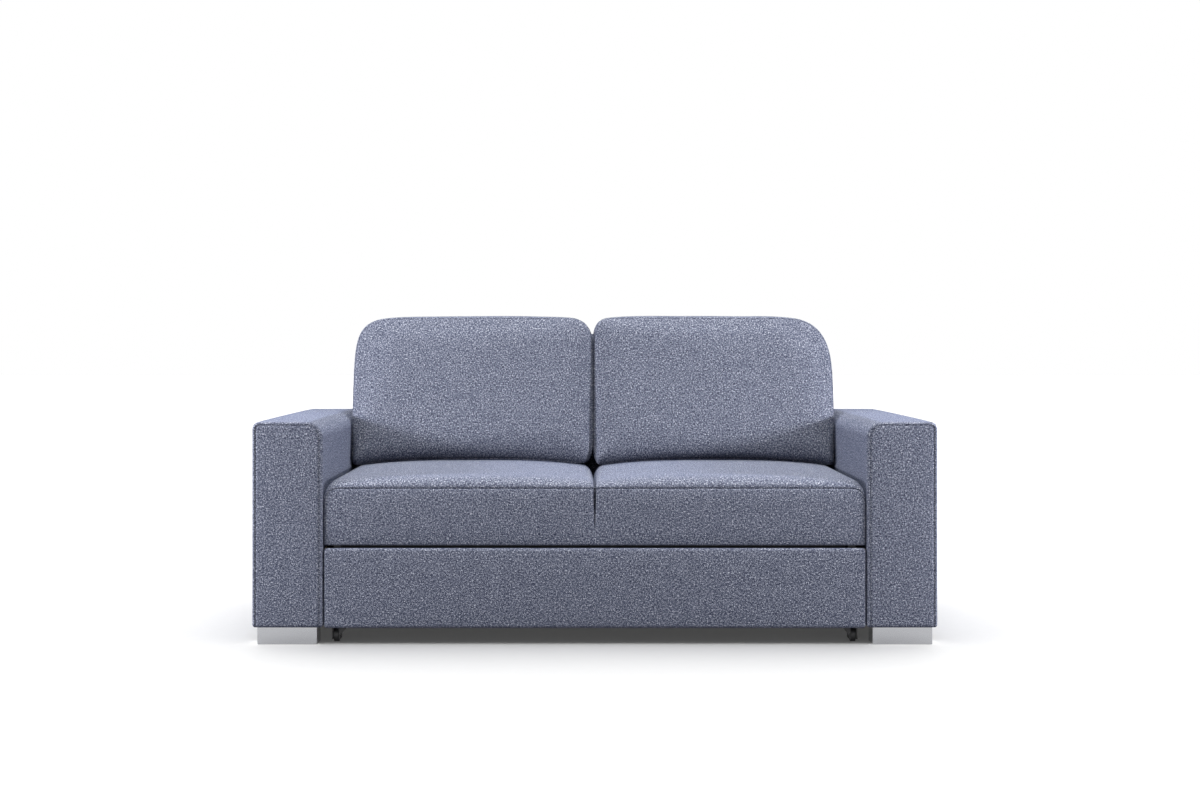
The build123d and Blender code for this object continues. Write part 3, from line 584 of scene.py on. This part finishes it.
class Seat:
    """The cover of the seat: a border, two crowned pads, the crease between them and a hollow rear."""

    def __init__(self):
        low_border, high_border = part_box("seat_border")
        _, high_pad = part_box("seat_pad_right")
        self.low = Vector(low_border)
        self.high = Vector((high_border[0], high_pad[1], SEAT_CROWN))
        self.half = self.high.x
        self.hinge = next(joint for joint in frame["joints"] if joint["name"] == "seat_fold")["pos_m"]

    def depth(self, y):
        return clamp((y - self.low.y) / (self.high.y - self.low.y), 0, 1)

    def plateau(self, x, y):
        """Height of the pads' broad crown, without their rounded edges."""
        across = abs(x) / self.half * 2 - 1
        rise = 1 - (1 - min(1.0, self.depth(y) / SEAT_CROWN_SHARE)) ** 2
        ridge = SEAT_FRONT_CREST + (SEAT_CROWN - SEAT_FRONT_CREST) * rise
        return ridge - (SEAT_CROWN - SEAT_SIDE_TOP) * abs(across) ** 3 * (0.5 + 0.5 * rise)

    def outer_drop(self, x):
        return SEAT_SIDE_RADIUS * quarter_drop(self.half - abs(x), SEAT_SIDE_RADIUS)

    def pinch_drop(self, x, y):
        """Drop of the pads' inner edges, which touch at the front and part towards the rear."""
        radius = PINCH_FRONT + (PINCH_REAR - PINCH_FRONT) * self.depth(y)
        return PINCH_DROP * radius * quarter_drop(abs(x), radius)

    def top(self, x, y):
        return self.plateau(x, y) - self.outer_drop(x) - self.pinch_drop(x, y)

    def seam(self, x):
        """Height of the seam along the front's top edge."""
        return SEAT_SEAM - self.outer_drop(x) - self.pinch_drop(x, self.low.y) / 3

    def front(self, x, z):
        """Y of the front face: a slight crown, soft ends, and the slit below the crease."""
        height = clamp((z - self.low.z) / (SEAT_SEAM - self.low.z), 0, 1)
        across = abs(x) / self.half * 2 - 1
        bulge = SEAT_BULGE * (1 - (2 * height - 1) ** 4) * (1 - SEAT_BULGE_FADE * abs(across) ** 6)
        ends = SEAT_END_RADIUS * quarter_drop(self.half - abs(x), SEAT_END_RADIUS)
        open_share = clamp((z - SLIT_LOW) / (SEAT_SEAM - SLIT_LOW), 0, 1)
        valley = VALLEY * smoothstep(open_share * VALLEY_RISE) * math.exp(-abs(x) / VALLEY)
        half = SLIT_HALF * mix(SLIT_FOOT_SHARE, 1, open_share)
        deep = mix(SLIT_SHALLOW, SLIT_DEPTH, smoothstep((z - SEAT_BOARD_TOP) / SLIT_DEEPENING))
        slit = deep * smoothstep(open_share * SLIT_RISE) * smoothstep((half - abs(x)) / MM + 0.5)
        return self.low.y + SEAT_BULGE - bulge + ends + valley + slit

    def hem(self, x):
        """The rounded edge between the floor of the cover and its front."""
        points = []
        for i in range(HEM_STEPS + 1):
            a = math.radians(90 * i / HEM_STEPS)
            y = self.front(x, self.low.z + HEM) + HEM * (1 - math.sin(a))
            points.append((y, self.low.z + HEM * (1 - math.cos(a))))
        return points

    def face(self, x, seam):
        """The front, up to its seam."""
        points = []
        low = self.low.z + HEM + HEM_ROOM
        for i in range(FRONT_STEPS + 1):
            z = low + (seam - SEAM_ROOM - low) * i / FRONT_STEPS
            points.append((self.front(x, z), z))
        for below in SEAM_LINES:
            push = SEAT_SEAM_DEPTH * math.exp(-((below * MM / SEAT_SEAM_WIDTH) ** 2))
            points.append((self.front(x, seam - below * MM) + push, seam - below * MM))
        return points

    def round_edge(self, x, seam, start):
        """The full, rounded edge from the seam up to the top of the pad."""
        points = []
        rise = self.top(x, start + SEAT_ROUND_DEPTH) - seam
        for i in range(1, ROUND_STEPS + 1):
            a = math.radians(90 * (i / ROUND_STEPS) ** ROUND_SPACING)
            y = start + SEAT_ROUND_DEPTH * (1 - math.cos(a) ** (2 / SEAT_ROUND_POWER))
            push = SEAT_SEAM_DEPTH * math.exp(-(((i - 1) / SEAM_FADE_LINES) ** 2)) / 2
            points.append((y + push, seam + rise * math.sin(a) ** (2 / SEAT_ROUND_POWER)))
        return points

    def pad(self, x, crest, rear_top):
        """The top of the pad, and its rounded rear edge."""
        points = []
        for i in range(1, PAD_STEPS + 1):
            y = crest + (self.high.y - REAR_ROOM - crest) * i / PAD_STEPS
            points.append((y, self.top(x, y)))
        for i in range(EDGE_STEPS + 1):
            a = math.radians(90 * i / EDGE_STEPS)
            y = self.high.y - SEAT_REAR_RADIUS * (1 - math.sin(a))
            points.append((y, rear_top - SEAT_REAR_RADIUS * (1 - math.cos(a))))
        return points

    def rear(self, rear_top):
        """The hollow rear face, which leaves room for the end of the folding section."""
        points = []
        start = rear_top - REAR_DROP
        for i in range(REAR_STEPS + 1):
            z = start + (self.low.z + HEM - start) * i / REAR_STEPS
            lift = abs(z - self.hinge[2])
            y = self.high.y
            if lift < HINGE_ROOM:
                y = min(y, self.hinge[1] - math.sqrt(HINGE_ROOM**2 - lift**2))
            points.append((y, z))
        return points

    def underside(self, rear_y):
        rear_edge, front_edge = rear_y - HEM, self.low.y + 2 * HEM
        steps = range(FLOOR_STEPS)
        return [(rear_edge + (front_edge - rear_edge) * i / FLOOR_STEPS, self.low.z) for i in steps]

    def section(self, x):
        """One closed loop of points across the seat, as (Y, Z)."""
        seam = self.seam(x)
        start = self.front(x, seam)
        rear_top = self.top(x, self.high.y)
        loop = self.hem(x) + self.face(x, seam) + self.round_edge(x, seam, start)
        loop += self.pad(x, start + SEAT_ROUND_DEPTH, rear_top) + self.rear(rear_top)
        return loop + self.underside(loop[-1][0])


def seat_cover(seat):
    low, high = CREASE_LINES[-1] * MM, seat.half - SIDE_LINES[-1] * MM
    xs = [line * MM for line in CREASE_LINES]
    xs += [low + (high - low) * i / PAD_COLUMNS for i in range(1, PAD_COLUMNS)]
    xs += [seat.half - line * MM for line in reversed(SIDE_LINES)]
    xs = [-x for x in reversed(xs[1:])] + xs
    loops = [seat.section(x) for x in xs]
    size = len(loops[0])
    points = [(x, y, z) for x, loop in zip(xs, loops) for y, z in loop]
    faces = []
    for i in range(len(xs) - 1):
        for j in range(size):
            k = (j + 1) % size
            faces.append((i * size + j, i * size + k, (i + 1) * size + k, (i + 1) * size + j))
    faces.append(tuple(range(size - 1, -1, -1)))
    faces.append(tuple((len(xs) - 1) * size + j for j in range(size)))
    piece = new_object("seat_upholstery", points, faces)
    nodes = ["seat_pad_left", "seat_pad_right", "seat_border"]
    finish_piece(piece, CLOTH, "seat_unit", nodes)


SEAT = Seat()
seat_cover(SEAT)


# ---------------------------------------------------------------- back cushions
def inflate(piece, pinned, cap):
    """Blow a closed piece up with cloth simulation while its seams are held, and keep the smooth part."""
    scene = bpy.context.scene
    group = piece.vertex_groups.new(name="seam")
    group.add(pinned, 1.0, "REPLACE")
    modifier = piece.modifiers.new("inflate", "CLOTH")
    cloth = modifier.settings
    cloth.quality = 6
    cloth.mass = 0.3
    cloth.tension_stiffness = 18
    cloth.compression_stiffness = 18
    cloth.shear_stiffness = 8
    cloth.bending_stiffness = 1.5
    cloth.use_pressure = True
    cloth.uniform_pressure_force = CUSHION_PRESSURE
    cloth.effector_weights.gravity = 0
    cloth.vertex_group_mass = "seam"
    modifier.point_cache.frame_start = 1
    modifier.point_cache.frame_end = CUSHION_FRAMES
    for step in range(1, CUSHION_FRAMES + 1):
        scene.frame_set(step)
    evaluated = piece.evaluated_get(bpy.context.evaluated_depsgraph_get())
    vertices = piece.data.vertices
    moves = [after.co - before.co for after, before in zip(evaluated.data.vertices, vertices)]
    piece.modifiers.remove(modifier)
    piece.vertex_groups.remove(group)
    scene.frame_set(1)
    moves = [m if m.length < cap else m.normalized() * cap for m in moves]
    for vertex, move in zip(vertices, relaxed(piece, moves, CUSHION_RELAXING)):
        vertex.co += move


def relaxed(piece, moves, rounds):
    """Even out a move for each vertex with those of its neighbours."""
    neighbours = [[] for _ in moves]
    for edge in piece.data.edges:
        first, second = edge.vertices
        neighbours[first].append(second)
        neighbours[second].append(first)
    for _ in range(rounds):
        moves = [
            (move + sum((moves[j] for j in near), Vector()) / len(near)) / 2
            for move, near in zip(moves, neighbours)
        ]
    return moves


def subdivided(piece):
    modifier = piece.modifiers.new("smooth", "SUBSURF")
    modifier.levels = 1
    modifier.render_levels = 1
    evaluated = piece.evaluated_get(bpy.context.evaluated_depsgraph_get())
    mesh = bpy.data.meshes.new_from_object(evaluated)
    piece.modifiers.remove(modifier)
    piece.data = mesh


def power_sum(first, second, power):
    """Like the hypotenuse, but squarer as the power grows."""
    return (first**power + second**power) ** (1 / power)


class Pillow:
    """A leaning cushion: a box whose corners, edges and sides are rounded, and whose foot fits the seat."""

    def __init__(self, side):
        low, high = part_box(f"back_cushion_{side}")
        self.low, self.high = Vector(low), Vector(high) - Vector((0, 0, CUSHION_SETTLE))
        self.middle = (self.low + self.high) / 2
        self.half = (self.high - self.low) / 2
        self.outward = 1 if side == "right" else -1
        self.outer, self.inner = CUSHION_OUTER_TOP[side], CUSHION_INNER_TOP[side]
        self.inner_foot = CUSHION_INNER_FOOT[side]

    def reach(self, p):
        """Reach along X and Z of the rounding at a point, and the power of its curve."""
        up = smoothstep((p.z - self.low.z) / (self.high.z - self.low.z))
        out = smoothstep(0.5 + (p.x - self.middle.x) / self.half.x / 2 * self.outward)
        outer_half = (p.x - self.middle.x) * self.outward > 0
        top = self.outer if outer_half else self.inner
        foot = CUSHION_OUTER_FOOT if outer_half else self.inner_foot
        along = mix(foot[0], top[0], up)
        if p.z > self.middle.z:
            return along, mix(self.inner[1], self.outer[1], out), top[2]
        return along, mix(self.inner_foot[1], CUSHION_OUTER_FOOT[1], out), foot[2]

    def rounded(self, p):
        """Move a point of the box to the rounded cushion, standing upright."""
        along, rise, power = self.reach(p)
        side = math.copysign(1, p.x - self.middle.x)
        up = math.copysign(1, p.z - self.middle.z)
        u = max(0.0, abs(p.x - self.middle.x) - (self.half.x - along)) / along
        w = max(0.0, abs(p.z - self.middle.z) - (self.half.z - rise)) / rise
        front = self.low.y + CUSHION_FRONT_ROUND
        rear = self.high.y - CUSHION_REAR_ROUND
        v = max(0.0, (front - p.y) / CUSHION_FRONT_ROUND, (p.y - rear) / CUSHION_REAR_ROUND)
        q = p.copy()
        level = max(u, w)
        if level > 0:
            inward = level / power_sum(u, w, power)
            bend = max(level, v) / power_sum(level, v, CUSHION_EDGE_POWER)
            if u > 0:
                q.x = self.middle.x + side * (self.half.x - along + along * u * inward * bend)
            if w > 0:
                q.z = self.middle.z + up * (self.half.z - rise + rise * w * inward * bend)
            v *= bend
        if p.y < front:
            q.y = front - CUSHION_FRONT_ROUND * v
        elif p.y > rear:
            q.y = rear + CUSHION_REAR_ROUND * v
        return q

    def place(self, p):
        """Lean the rounded cushion back, swell it above the arm and rest its foot on the seat."""
        q = self.rounded(p)
        height = (q.z - self.low.z) / (self.high.z - self.low.z)
        q.y = self.high.y - (self.high.y - q.y) * mix(1, CUSHION_TOP_SHARE, height)
        out = (q.x - self.middle.x) / self.half.x * self.outward
        swell = math.exp(-(((height - CUSHION_SWELL_HEIGHT) / CUSHION_SWELL_SPREAD) ** 2))
        q.x += self.outward * CUSHION_SWELL * swell * max(0.0, out) ** 6
        foot = SEAT.plateau(q.x, q.y) + CUSHION_REST - self.low.z
        q.z += foot * (1 - clamp(height, 0, 1)) ** 3
        return q


def with_seams(values, seams):
    """Stations with close lines beside each seam, so that it can be drawn in narrow."""
    kept = [v for v in values if all(abs(v - seam) > CUSHION_SEAM_ROOM for seam in seams)]
    close = [seam + line * MM for seam in seams for line in CUSHION_SEAM_LINES]
    return sorted(kept + close)


def back_cushion(side):
    pillow = Pillow(side)
    low, high = pillow.low, pillow.high
    seams = [low.y + seam for seam in CUSHION_SEAMS]
    flat = []

    def place(p):
        flat.append(p.copy())
        return pillow.place(p)

    spacing = (CUSHION_BAND, CUSHION_FINE_STEP, CUSHION_STEP)
    xs = stations(low.x, high.x, *spacing)
    ys = with_seams(stations(low.y, high.y, *spacing), seams)
    zs = stations(low.z, high.z, *spacing)
    piece = lattice(f"back_pillow_{side}", xs, ys, zs, place)
    vertices = piece.data.vertices
    rim = [p.x in (xs[0], xs[-1]) or p.z in (zs[0], zs[-1]) for p in flat]
    rear = [p.y > high.y - MM for p in flat]
    front_seam = [on_rim and abs(p.y - seams[0]) < MM for p, on_rim in zip(flat, rim)]
    inflate(piece, [i for i in range(len(flat)) if rear[i] or front_seam[i]], CUSHION_CAP)
    normals = [v.normal.copy() for v in vertices]
    for vertex, normal, p, on_rim in zip(vertices, normals, flat, rim):
        vertex.co += normal * CUSHION_UNEVEN * noise.noise(p * CUSHION_UNEVEN_PER_METRE)
        if on_rim:
            depth = sum(math.exp(-(((p.y - seam) / CUSHION_SEAM_WIDTH) ** 2)) for seam in seams)
            vertex.co -= normal * SEAM_DEPTH * depth
    subdivided(piece)
    left_end, right_end = (low.x - CUSHION_SWELL, -MM) if side == "left" else (MM, high.x + CUSHION_SWELL)
    for vertex in piece.data.vertices:
        c = vertex.co
        c.x = clamp(c.x, left_end, right_end)
        c.y = min(c.y, high.y)
        c.z = max(c.z, SEAT.plateau(c.x, c.y) + MM)
    finish_piece(piece, CLOTH, f"back_cushion_{side}", [f"back_cushion_{side}"])


for side in ("left", "right"):
    back_cushion(side)


# ---------------------------------------------------------------- panels and mattresses
def padded_panel(name, node, body, corner, edges, crown):
    slab = Slab(*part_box(node), (corner,) * 4, edges, crown)
    piece = slab_piece(name, slab)
    finish_piece(piece, CLOTH, body, [node])


padded_panel(
    "front_panel_upholstery",
    "front_panel_cover",
    "drawer",
    FRONT_PANEL_CORNER,
    FRONT_PANEL_EDGES,
    {(1, -1): FRONT_PANEL_CROWN},
)
padded_panel(
    "back_panel_upholstery",
    "back_panel_cover",
    "sofa_body",
    BACK_PANEL_CORNER,
    BACK_PANEL_EDGES,
    {(1, 1): BACK_PANEL_CROWN},
)
for side in ("left", "right"):
    low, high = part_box(f"back_wing_{side}")
    corners = (WING_CORNER, WING_CORNER, WING_TOP_CORNER, WING_CORNER)
    slab = Slab((low.y, low.x, low.z), (high.y, high.x, high.z), corners, (WING_EDGE, WING_EDGE))
    wing = turned(slab_piece(f"back_wing_upholstery_{side}", slab))
    finish_piece(wing, CLOTH, "sofa_body", [f"back_wing_{side}"])

for section in ("middle", "rear"):
    low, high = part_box(f"{section}_section_mattress")
    if section == "rear":
        low, high = (low[0], -high[1], low[2]), (high[0], -low[1], high[2])
    edges = (MATTRESS_EDGE, MATTRESS_EDGE)
    seams = [(MATTRESS_SEAM_INSET, MATTRESS_SEAM_DEPTH)]
    slab = Slab(low, high, (MATTRESS_EDGE,) * 4, edges, seams=seams, foot_seam=True)
    mattress = slab_piece(f"{section}_mattress_upholstery", slab)
    if section == "rear":
        mirrored(mattress)
    finish_piece(mattress, CLOTH, f"{section}_section", [f"{section}_section_mattress"])


# ---------------------------------------------------------------- studio and camera
def floor():
    material, nodes, links, shader = material_with_nodes("studio_floor")
    coordinates = nodes.new("ShaderNodeTexCoord").outputs["Object"]
    grain = stretched_noise(nodes, links, coordinates, (30, 30, 30), 2)
    pale = [(0.3, (FLOOR_SHADE - 0.005,) * 3), (0.7, (FLOOR_SHADE + 0.005,) * 3)]
    links.new(ramp(nodes, links, grain, pale), shader.inputs["Base Color"])
    shader.inputs["Roughness"].default_value = 0.7
    shader.inputs["Specular IOR Level"].default_value = 0.1
    shader.inputs["Emission Color"].default_value = (1, 1, 1, 1)
    shader.inputs["Emission Strength"].default_value = FLOOR_GLOW
    corners = [(x * FLOOR_REACH, y * FLOOR_REACH, 0) for x, y in ((-1, -1), (1, -1), (1, 1), (-1, 1))]
    piece = new_object("studio_floor", corners, [(0, 1, 2, 3)])
    piece.data.materials.append(material)
    return piece


def light(kind, name, location, target, power):
    data = bpy.data.lights.new(name, kind)
    data.energy = power
    lamp = bpy.data.objects.new(name, data)
    lamp.location = location
    lamp.rotation_euler = (Vector(target) - Vector(location)).to_track_quat("-Z", "Y").to_euler()
    bpy.context.scene.collection.objects.link(lamp)
    return lamp


def link_light(lamp, piece, state):
    """INCLUDE: the lamp lights this piece alone. EXCLUDE: it lights all but this piece."""
    receivers = bpy.data.collections.new(f"{lamp.name}_receivers")
    receivers.objects.link(piece)
    receivers.collection_objects[0].light_linking.link_state = state
    lamp.light_linking.receiver_collection = receivers


def white_room(strength):
    """Seen directly the room is plain white; what it lights gets only a share of that."""
    world = bpy.data.worlds.new("studio")
    world.use_nodes = True
    nodes, links = world.node_tree.nodes, world.node_tree.links
    level = nodes.new("ShaderNodeMapRange")
    links.new(nodes.new("ShaderNodeLightPath").outputs["Is Camera Ray"], level.inputs["Value"])
    level.inputs["To Min"].default_value = strength
    level.inputs["To Max"].default_value = 1.0
    nodes["Background"].inputs["Color"].default_value = (1, 1, 1, 1)
    links.new(level.outputs["Result"], nodes["Background"].inputs["Strength"])
    return world


def studio(ground):
    """The floor has a soft dome of its own; the other lamps light the sofa alone."""
    scene = bpy.context.scene
    scene.world = white_room(ROOM_SHARE)
    scene.view_settings.view_transform = "Standard"
    dome = light("SUN", "dome", DOME_PLACE, (0, 0, 0), DOME_POWER)
    dome.data.angle = math.radians(DOME_SPREAD)
    link_light(dome, ground, "INCLUDE")
    overhead = light("SUN", "overhead", OVERHEAD_PLACE, (0, 0, 0), OVERHEAD_POWER)
    overhead.data.angle = math.radians(OVERHEAD_SPREAD)
    overhead.data.color = OVERHEAD_COLOUR
    fill = light("SUN", "fill", FILL_PLACE, (0, 0, 0), FILL_POWER)
    fill.data.angle = math.radians(FILL_SPREAD)
    lamps = [overhead, fill]
    for name, sign in (("side_left", -1), ("side_right", 1)):
        place = (sign * SIDE_PLACE[0], SIDE_PLACE[1], SIDE_PLACE[2])
        side = light("AREA", name, place, SIDE_TARGET, SIDE_POWER)
        side.data.shape = "DISK"
        side.data.size = SIDE_SIZE
        lamps.append(side)
    for lamp in lamps:
        link_light(lamp, ground, "EXCLUDE")


def camera():
    data = bpy.data.cameras.new("camera")
    data.lens = CAMERA_LENS
    data.sensor_width = 36
    data.shift_x, data.shift_y = CAMERA_SHIFT
    piece = bpy.data.objects.new("camera", data)
    piece.location = (CAMERA_X, CAD_BOUNDS[0][1] - CAMERA_DISTANCE, CAMERA_HEIGHT)
    piece.rotation_euler = (math.radians(90), 0, 0)
    bpy.context.scene.collection.objects.link(piece)
    bpy.context.scene.camera = piece


studio(floor())
camera()
